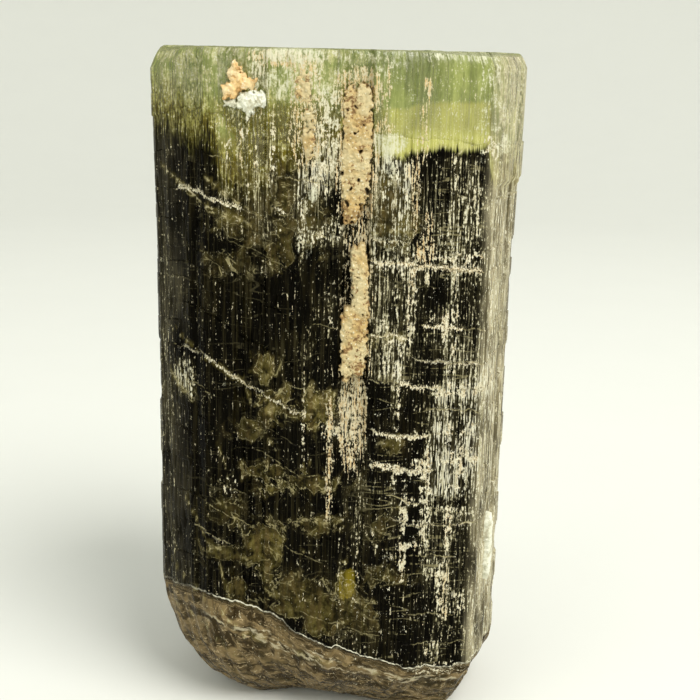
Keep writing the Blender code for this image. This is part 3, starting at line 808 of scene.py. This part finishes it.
def prismMaterial():
    finish = Finish("tourmaline")
    tint = prismFinish
    wrap = finish.add("ShaderNodeUVMap", {"uv_map": "wrap"})
    cap, right, moss, endFace, broken = map(finish.value, ("cap", "right", "moss", "endFace", "broken"))
    olive, oliveTone, flank, film = map(finish.value, ("olive", "oliveTone", "flank", "film"))
    cream, clay, pale = map(finish.value, ("cream", "clay", "pale"))
    crackOff, crackNear, tan = map(finish.value, ("crackOff", "crackNear", "tan"))
    wisp, wispNear, lip, lipNear = map(finish.value, ("wisp", "wispNear", "lip", "lipNear"))

    def pattern(name):
        scale, offset, settings = prismPatterns[name]
        return finish.noise(wrap, (*scale, 1), (*offset, 0), flat=True, **settings)

    hair, dash, speck, grit, mid, broad, chips, cloud, curl, flow, levels = map(pattern, prismPatterns)
    block = finish.cells(wrap, blockSize, out="Color")

    # body: black to brown, in blocks
    tone = (finish.add("ShaderNodeSeparateColor", {}, [block]) - 0.5) * 0.5
    browner = (mid * 0.6 + broad * 0.4 + tone * 0.25).rise(0.48, 0.72)
    body = finish.mix(browner, tint["black"], tint["brownBlack"])

    # olive clouds below the surface, with curved pale veins, painted highlights on the flakes and painted
    # highlight lines along their rims
    warp = (cloud - 0.5) * 3.6 + (chips - 0.5) * 1.3
    haze = (olive + warp).rise(-0.7, 0.9)
    mottle = chips * 0.4 + cloud * 0.3 + curl * 0.2 + mid * 0.1
    flake = finish.mix(mid.rise(0.4, 0.6), tint["olive"], tint["oliveBrown"])
    flake = finish.mix(mottle.rise(0.4, 0.62), tint["oliveDeep"], flake)
    # painted highlight: lighter spots on the olive flakes
    flakeHighlight = (speck * 0.35 + chips * 0.35 + cloud * 0.3).rise(0.53, 0.62)
    flake = finish.mix(flakeHighlight * 0.35, flake, tint["rim"])
    body = finish.mix(haze * (oliveTone.min(1) * 0.62 + 0.08), body, flake)
    window = oliveTone.rise(1.1, 1.4) * (olive + (chips - 0.5)).rise(-0.1, 0.3)  # one amber spot
    body = finish.mix(window * (0.4 + mid.rise(0.4, 0.6) * 0.6) * 0.7, body, tint["amber"])
    veins = (curl - 0.5).size().rise(0.016, 0.004) * olive.rise(-1.0, 0.4) * chips.rise(0.44, 0.6) * 0.7
    # painted highlight lines along the edges of the olive patches
    rimHighlight = (olive + warp * 0.8).size().rise(0.09, 0.03) * oliveTone.min(1) * speck.rise(0.4, 0.56)
    body = finish.mix(veins.max(rimHighlight), body, tint["rim"])
    across = (levels - 0.5).size().rise(0.022, 0.008) * (broad * 0.5 + dash * 0.5).rise(0.45, 0.58)
    body = finish.mix(across * (0.08 + right * 0.4), body, tint["rim"])
    # the side faces paled in streaks: painted reflection of the bright surroundings
    sideReflection = (mid * 0.3 + broad * 0.2 + dash * 0.2 + hair * 0.3).rise(0.42, 0.56)
    sideReflection = finish.mix(sideReflection, tint["sideDeep"], tint["sideFace"])
    body = finish.mix((flank * (0.85 + (broad - 0.5) * 2.5)).clamped(), body, sideReflection)

    # broken rock: mottled, with shell-like lines along the edge and a second fine ledge line
    lighter = (flow * 0.2 + cloud * 0.5 + chips * 0.3).rise(0.42, 0.6)
    rock = finish.mix(lighter, tint["brokenDeep"], tint["broken"])
    darker = curl.rise(0.47, 0.6) * right.max(broad.rise(0.45, 0.6))
    rock = finish.mix(darker * 0.5, rock, tint["oliveDeep"])
    shell = (lip * 0.8 + (cloud - 0.5) * 2.4 + (curl - 0.5) * 2.0 + 40).fraction()
    shell = (shell - 0.5).size().rise(0.07, 0.015) * chips.rise(0.44, 0.6)
    rock = finish.mix(shell * 0.7, rock, tint["creamTan"])
    ledge = (lip + 1.6 + (flow - 0.5) * 3.0).size().rise(0.3, 0.12) * chips.rise(0.4, 0.6)
    rock = finish.mix(ledge * lipNear.rise(0.2, 0.9) * 0.6, rock, tint["cream"])
    body = finish.mix(broken, body, rock)

    # cap: sage above, yellow-green below, olive on the left
    jitter = (hair - 0.5) * 1.6 + (dash - 0.5) * 2.2 + (mid - 0.5) * 1.6
    fringe = cap + jitter * (1 - right * 0.6) + tone * right * 0.8
    soft = (fringe + (dash - 0.5) * 3.0 + (broad - 0.5) * 3.0).rise(-2.0, 3.0) ** 1.5
    left = 1 - right
    capMask = fringe.rise(-0.3, 0.4) * right + soft * left
    spots = chips * 0.4 + dash * 0.2 + speck * 0.4
    sage = (mid * 0.3 + hair * 0.2 + spots * 0.5).rise(0.42, 0.57)
    sage = finish.mix(sage, tint["sageDeep"], tint["sage"])
    sage = finish.mix(left * (cloud * 0.3 + spots * 0.7).rise(0.45, 0.56) * 0.75, sage, tint["capPale"])
    olives = finish.mix((spots - moss * 0.05).rise(0.44, 0.56), tint["capOlive"], tint["capLight"])
    threaded = (hair + (grit - 0.5) * 0.3).rise(0.5, 0.6) * 0.5
    yellow = finish.mix(threaded, tint["yellowGreen"], tint["yellowPale"])
    low = finish.mix(left, yellow, olives)
    lowRight = (cap + (dash - 0.5) * 0.5).rise(4.1, 3.6) * right
    lowLeft = (cap + (spots - 0.5) * 6.0).rise(5.0, 1.6) * left
    green = finish.mix((lowRight + lowLeft).max(moss * (broad + spots).rise(0.72, 0.92)), sage, low)
    green = finish.mix(across * 0.35, green, tint["capPale"])
    rimFrost = cap.rise(6.6, 8.2) * (speck * 0.5 + dash * 0.3 + chips * 0.2).rise(0.42, 0.58)
    green = finish.mix(rimFrost * (0.3 + right * 0.4), green, tint["pale"])
    base = finish.mix(capMask, body, green)
    # the cap's side faces paled the same way: painted reflection
    capSideReflection = flank * capMask * (0.35 + (dash * 0.5 + mid * 0.5).rise(0.42, 0.58) * 0.5)
    base = finish.mix(capSideReflection, base, tint["sideFace"])

    # the flat top: frosted, with a fine even grain
    clouded = (cloud * 0.5 + chips * 0.3 + speck * 0.2).rise(0.42, 0.58)
    frosted = (chips * 0.5 + grit * 0.2 + curl * 0.3).rise(0.48, 0.62)
    grained = (speck * 0.6 + grit * 0.25 + chips * 0.15).rise(0.56, 0.66)
    top = finish.mix(clouded, tint["sageDeep"], tint["sage"])
    top = finish.mix(frosted * 0.8, top, tint["capPale"])
    top = finish.mix(grained * 0.8, top, tint["fibreBright"])
    base = finish.mix(endFace, base, top)
    sides = 1 - endFace.max(broken)  # 0 on the flat top and on the break

    # pale fibres in the ridges: dim ones behind, bright broken ones before, crusty clumps, and pale specks
    # with painted glints
    thick = film + cream * 0.55 + (broad - 0.5) * 0.9 + tone * 0.5
    dim = ((1 - hair) * 0.5 + speck * 0.3 + dash * 0.2).rise(0.475, 0.55) * thick.rise(0.2, 0.9)
    dim = dim.max((hair * 0.7 + mid * 0.3).rise(0.55, 0.6) * (broad - 0.2))
    base = finish.mix(dim * 0.62 * (1 - capMask) * sides, base, tint["dimLine"])
    gate = dash * 0.4 + speck * 0.6 + thick * 0.26 - olive.rise(-0.5, 0.5) * 0.06 - 0.69
    fibre = (hair * 0.5 + dash * 0.5).rise(0.465, 0.545) * gate.rise(-0.01, 0.045)
    bright = gate + (grit - 0.5) * 0.25 + (hair - 0.5) * 0.2 + (film.min(0.8) - 0.45) * 0.16
    fibreColour = finish.mix(bright.rise(0.0, 0.07), tint["fibreDim"], tint["fibre"])
    fibreColour = finish.mix(bright.rise(0.07, 0.16), fibreColour, tint["fibreBright"])
    fibreColour = finish.mix(capMask * 0.55, fibreColour, tint["capPale"])
    base = finish.mix(fibre * (0.95 - capMask * 0.3) * sides, base, fibreColour)
    threads = (hair + (grit - 0.5) * 0.08).rise(0.575, 0.61) * (dash * 0.6 + broad * 0.4).rise(0.4, 0.5)
    threads = threads * film.rise(0.3, 0.7) * sides
    paler = (dash + (grit - 0.5) * 0.7 + (broad - 0.5)).rise(0.38, 0.7)
    base = finish.mix(threads * 0.8, base, finish.mix(paler, tint["fibreDim"], tint["fibre"]))
    clumps = cream + (chips - 0.5) * 2.4 + (speck - 0.5) * 1.6 + (dash - 0.5) - 0.8
    clumps = clumps.rise(0.0, 0.14) * cream.rise(0.05, 0.2)
    fine = speck * 0.5 + grit * 0.5
    clumpColour = finish.mix((chips * 0.5 + mid * 0.5).rise(0.42, 0.58), tint["creamTan"], tint["cream"])
    clumpColour = finish.mix(fine.rise(0.52, 0.6), clumpColour, tint["fibreBright"])
    clumpColour = finish.mix(fine.rise(0.46, 0.4) * 0.7, clumpColour, tint["fibreDim"])
    base = finish.mix(clumps * 0.95, base, clumpColour)
    frost = capMask * (1 - right * 0.6) * (0.5 + cap.rise(2.0, 7.0))
    # pale specks with painted glints: small bright points, paler in the cap and the fibre zones
    speckAndGlint = speck * 0.4 + grit * 0.4 + dash * 0.2 + (chips - 0.5) * 0.25 + (cloud - 0.5) * 0.2
    speckAndGlint = (speckAndGlint + frost * 0.03 + capMask * 0.035 - 0.02).rise(0.63, 0.675) * (1 - endFace)
    speckAndGlintPaler = (capMask + film + right * 0.5).rise(0.15, 0.6)
    speckAndGlintColour = finish.mix(speckAndGlintPaler, tint["fibreDim"], tint["fibreBright"])
    base = finish.mix(speckAndGlint * (0.85 - capMask * 0.2), base, speckAndGlintColour)

    # thin veins, a painted highlight line along the edge of the break, cracks and stains
    glow = wisp.size().rise(4.5, 0.5) * wispNear * cloud.rise(0.35, 0.6)
    base = finish.mix(glow * 0.35 * (1 - capMask), base, tint["olive"])
    vein = (wisp + (chips - 0.5) * 2.2 + (speck - 0.5) * 0.8).size().rise(0.45, 0.14)
    vein = vein * wispNear.rise(0.1, 0.8) * (chips * 0.5 + mid * 0.5).rise(0.43, 0.54)
    base = finish.mix(vein * 0.8, base, finish.mix(wispNear.rise(0.6, 1.1), tint["rim"], tint["cream"]))
    # painted highlight: a bright line along the edge of the break, where light catches it
    lipHighlight = (lip + (chips - 0.5) * 0.15).size().rise(0.065, 0.025) * lipNear
    base = finish.mix(lipHighlight * (0.25 + (mid + broad).rise(0.85, 1.1) * 0.75), base, tint["fibreBright"])
    bandOff = crackOff + (speck - 0.5) * 0.8 + (dash - 0.5) * 0.6 + (chips - 0.5) * 0.7
    band = (crackNear * 0.34 + (cloud - 0.5) * 0.5 - 0.06 - bandOff.size()).rise(0.0, 0.09)
    band = band * crackNear.rise(0.35, 0.75) * fine.rise(0.4, 0.5)
    thin = (crackOff + (chips - 0.5) * 0.2).size().rise(0.07, 0.03) * crackNear.rise(0.05, 0.5)
    base = finish.mix(thin * (mid * 0.4 + speck * 0.6).rise(0.4, 0.52) * 0.75, base, tint["rim"])
    bandColour = finish.mix((tan + (chips - 0.5) * 1.5).clamped(), tint["cream"], tint["creamTan"])
    bandColour = finish.mix((grit * 0.6 + speck * 0.4).rise(0.5, 0.6), bandColour, tint["fibreBright"])
    base = finish.mix(band * 0.95, base, bandColour)
    ragged = (speck - 0.5) * 1.8 + (dash - 0.5) * 2.2 + (grit - 0.5)
    stain = (clay * 1.1 + ragged - 0.6).rise(0.0, 0.25)
    stainColour = finish.mix((speck + grit * 0.4).rise(0.6, 0.85), tint["clay"], tint["cream"])
    base = finish.mix(stain * 0.95, base, stainColour)
    white = (pale * 1.1 + ragged * 0.5 + (chips - 0.5) * 1.2 - 0.5).rise(-0.15, 0.45)
    base = finish.mix(white * 0.8, base, tint["pale"])

    dusty = (fibre * 0.6).max(band).max(stain).max(white).max(vein).max(clumps)
    roughness = tint["roughness"] + mid * 0.14 + dusty * tint["dustRoughness"]
    height = (hair * 0.35 + dash * 0.3 + mid * 0.5 + speck * 0.25) * sides + flow * 2.6 * broken
    normal = finish.bump(height + speck * endFace * 0.8, tint["reliefHeight"], tint["relief"])
    coat = broken * tint["coatBase"] + cap.rise(-0.5, 1.5) * (1 - dusty) * tint["coatCap"]
    solid = finish.principled(Base_Color=base, Roughness=roughness, Normal=normal, IOR=tint["ior"],
                              Specular_IOR_Level=tint["gloss"], Specular_Tint=(*tint["glossTint"], 1),
                              Coat_Weight=coat, Coat_Roughness=tint["coatRoughness"])
    clear = finish.principled(Base_Color=(*tint["clearTint"], 1), Roughness=tint["clearRoughness"],
                              Normal=normal, IOR=tint["ior"], Transmission_Weight=1.0)
    see = cap.rise(0.6, 2.4) * (1 - dusty) * (broad * 0.6 + hair * 0.4).rise(0.3, 0.65) * tint["clearShare"]
    surface = finish.add("ShaderNodeMixShader", {}, [see.clamped(), solid, clear])
    volume = finish.add("ShaderNodeVolumeAbsorption", {},
                        {"Color": (*tint["clearColour"], 1), "Density": tint["clearDensity"]})
    finish.output(surface, volume)
    return finish.material


# Each crust: its outline as (arc, height), how far its face stands out, where its foot lies, how holed and
# how rough it is, and the height below which it crumbles.
crusts = {
    "clay_patch": {
        "outline": [(-10.47, 59.9), (-9.99, 59.7), (-9.66, 58.8), (-8.51, 58.2), (-8.59, 57.7),
                    (-9.65, 57.5), (-10.21, 56.8), (-11.19, 56.7), (-11.36, 57.8), (-10.79, 58.2),
                    (-10.71, 59.2)],
        "swell": 0.38, "floor": -0.42, "holes": 0.05, "rough": 1.0,
        "crumblesBelow": 0.0, "finish": "orangeClay",
    },
    "feldspar_patch": {
        "outline": [(-11.28, 56.6), (-10.21, 56.8), (-9.65, 57.4), (-8.42, 57.4), (-7.77, 57.2),
                    (-7.68, 56.3), (-8.57, 56.0), (-9.3, 55.1), (-9.64, 56.0), (-11.03, 56.2)],
        "swell": 0.28, "floor": -0.42, "holes": 0.0, "rough": 1.0,
        "crumblesBelow": 0.0, "finish": "feldspar",
    },
    "clay_vein_left": {
        "outline": [(-5.6, 59.0), (-4.63, 59.4), (-4.05, 58.7), (-3.84, 56.7), (-3.48, 55.1),
                    (-3.58, 52.3), (-4.24, 51.8), (-4.68, 53.5), (-4.64, 55.9), (-5.32, 57.3)],
        "swell": 0.14, "floor": -0.42, "holes": 0.25, "rough": 1.0,
        "crumblesBelow": 0.0, "finish": "clay",
    },
    "clay_groove_upper": {
        "outline": [(-1.35, 57.5), (-0.9, 58.1), (-0.3, 57.8), (0.35, 58.3), (0.95, 57.9), (1.15, 56.4),
                    (1.2, 52.8), (1.1, 50.8), (1.0, 49.1), (0.4, 48.1), (-0.12, 46.9), (-0.95, 46.8),
                    (-1.3, 48.6), (-1.6, 51.5), (-1.4, 53.6), (-1.35, 55.6)],
        "swell": 0.0, "floor": -1.0, "holes": 0.24, "rough": 1.0,
        "crumblesBelow": 51.0, "finish": "clay",
    },
    "clay_groove_lower": {
        "outline": [(-0.39, 44.8), (0.78, 45.1), (1.15, 43.5), (1.2, 41.1), (1.3, 39.3), (1.2, 36.7),
                    (1.14, 34.6), (0.6, 33.2), (0.0, 33.8), (-0.5, 32.9), (-1.1, 33.4), (-1.2, 35.7),
                    (-1.2, 38.9), (-0.9, 39.6), (-0.3, 39.8), (-0.2, 41.6), (-0.45, 43.4)],
        "swell": 0.0, "floor": -0.95, "holes": 0.17, "rough": 1.0,
        "crumblesBelow": 36.5, "finish": "clay",
    },
    "feldspar_grain": {
        "outline": [(14.15, 19.7), (14.7, 20.0), (15.25, 18.6), (15.2, 16.8), (15.4, 15.2),
                    (14.95, 13.7), (14.4, 13.4), (14.05, 15.1), (14.15, 16.9), (13.95, 18.2)],
        "swell": 0.45, "floor": -0.45, "holes": 0.1, "rough": 0.4,
        "crumblesBelow": 0.0, "finish": "feldspar",
    },
}
crustRelief = {
    "step": 0.07, "margin": 0.5, "ragged": 0.22, "fineRagged": 0.24, "moreHoles": 0.16, "pitDepth": 0.5,
    "lumps": 0.14, "grains": 0.13, "edgeDrop": 0.1, "skirt": 0.15, "cutAt": -0.16, "wall": 0.2,
}


def makeCrust(name, material):
    settings = crusts[name]
    outline = np.array(settings["outline"])
    low, high = outline.min(axis=0) - crustRelief["margin"], outline.max(axis=0) + crustRelief["margin"]
    columns, rows = (np.ceil((high - low) / crustRelief["step"]).astype(int) + 1).tolist()
    words = name.split("_")
    piece, column, row = gridPiece(words[0] + "".join(word.title() for word in words[1:]), columns, rows)
    arc = low[0] + (high[0] - low[0]) * column / (columns - 1)
    up = high[1] - (high[1] - low[1]) * row / (rows - 1)
    point, normal = outlineAt(arc)

    # a ragged outline, then lumps, grains and pits on its face
    ragged = crustRelief["ragged"] * noiseAt(arc * 1.6, up * 1.3, 3.0, octaves=2)
    ragged = ragged + crustRelief["fineRagged"] * noiseAt(arc * 4.2, up * 3.0, 5.0, octaves=2)
    within = insideBy(arc, up, outline) + settings["rough"] * ragged
    lumps = crustRelief["lumps"] * noiseAt(arc * 1.3, up * 1.0, 11.0, octaves=2)
    grains = crustRelief["grains"] * noiseAt(arc * 3.4, up * 3.4, 12.0, octaves=3)
    crumbles = smooth(settings["crumblesBelow"] + 2.0, settings["crumblesBelow"] - 1.0, up)
    holes = settings["holes"] + crustRelief["moreHoles"] * crumbles
    pits = smooth(0.5 - holes, 0.7 - holes, noiseAt(arc * 1.7, up * 1.5, 21.0, octaves=2) - 0.25)
    crown = settings["swell"] + settings["rough"] * (lumps + grains)
    crown = crown - crustRelief["edgeDrop"] * smooth(0.4, 0.0, within) - crustRelief["pitDepth"] * pits
    foot = settings["floor"] - crustRelief["skirt"]
    out = foot + (np.maximum(crown, settings["floor"] + 0.1) - foot) * smooth(-0.12, 0.08, within)
    setPoints(piece, np.column_stack([point + out[:, None] * normal, up]))
    addValues(piece, "pit", pits)
    selectPoints(piece, within < crustRelief["cutAt"])
    inEditMode(piece, lambda: bpy.ops.mesh.delete(type="VERT"))
    wall = piece.modifiers.new("wall", "SOLIDIFY")
    wall.thickness, wall.offset, wall.use_rim = crustRelief["wall"] * mm, -1, True
    bpy.ops.object.modifier_apply(modifier="wall")
    bpy.ops.object.shade_smooth_by_angle(angle=math.radians(50))
    piece.data.materials.append(material)
    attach(piece, "root")
    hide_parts(name)
    return piece


crustFinish = {
    "clay": {"low": (0.22, 0.125, 0.05), "main": (0.54, 0.38, 0.155), "light": (0.575, 0.48, 0.268),
             "grain": (0.78, 0.74, 0.56), "hole": (0.035, 0.028, 0.016)},
    "orangeClay": {"low": (0.46, 0.27, 0.10), "main": (0.78, 0.51, 0.21), "light": (0.80, 0.65, 0.38),
                   "grain": (0.88, 0.80, 0.60), "hole": (0.14, 0.08, 0.035)},
    "feldspar": {"low": (0.48, 0.45, 0.32), "main": (0.70, 0.70, 0.55), "light": (0.80, 0.80, 0.68),
                 "grain": (0.88, 0.88, 0.80), "hole": (0.22, 0.21, 0.15)},
}
crustPatterns = {"broad": 330, "coarse": 1100, "grain": 2900, "cells": 3600}  # cycles to the metre
crustSurface = {"roughness": 0.86, "gloss": 0.25, "reliefHeight": 0.0002, "relief": 0.8}


def crustMaterial(name):
    colours = crustFinish[name]
    finish = Finish(name)
    where = finish.add("ShaderNodeTexCoord", {}, out="Object")
    scales = {kind: (scale,) * 3 for kind, scale in crustPatterns.items()}
    broad = finish.noise(where, scales["broad"], (2, 1, 5), detail=2)
    coarse = finish.noise(where, scales["coarse"], detail=3)
    grain = finish.noise(where, scales["grain"], (3, 1, 2), detail=3, roughness=0.7)
    cells = finish.cells(where, scales["cells"])
    pit = finish.value("pit") * (0.5 + grain)
    colour = finish.mix((broad * 0.6 + coarse * 0.4).rise(0.4, 0.6), colours["main"], colours["light"])
    colour = finish.mix((broad * 0.4 + coarse * 0.6).rise(0.47, 0.38) * 0.55, colour, colours["low"])
    colour = finish.mix((grain + (coarse - 0.5) * 0.6).rise(0.44, 0.34), colour, colours["low"])
    colour = finish.mix((grain * 0.6 + (1 - cells) * 0.4).rise(0.6, 0.7) * 0.8, colour, colours["grain"])
    colour = finish.mix(pit.rise(0.3, 0.7) * 0.85, colour, colours["low"])
    colour = finish.mix(pit.rise(0.6, 0.95) * 0.9, colour, colours["hole"])
    height = grain * 0.6 + coarse * 0.4 - cells * 0.3
    normal = finish.bump(height, crustSurface["reliefHeight"], crustSurface["relief"])
    roughness = crustSurface["roughness"] + (grain - 0.5) * 0.2
    finish.output(finish.principled(Base_Color=colour, Roughness=roughness, Normal=normal,
                                    Specular_IOR_Level=crustSurface["gloss"]))
    return finish.material


stone = makePrism()
stone.data.materials.append(prismMaterial())
print("prism is made:", len(stone.data.polygons), "faces")
crustMaterials = {name: crustMaterial(name) for name in crustFinish}
for crustName, crustSettings in crusts.items():
    made = makeCrust(crustName, crustMaterials[crustSettings["finish"]])
    print(crustName, "is made:", len(made.data.polygons), "faces")
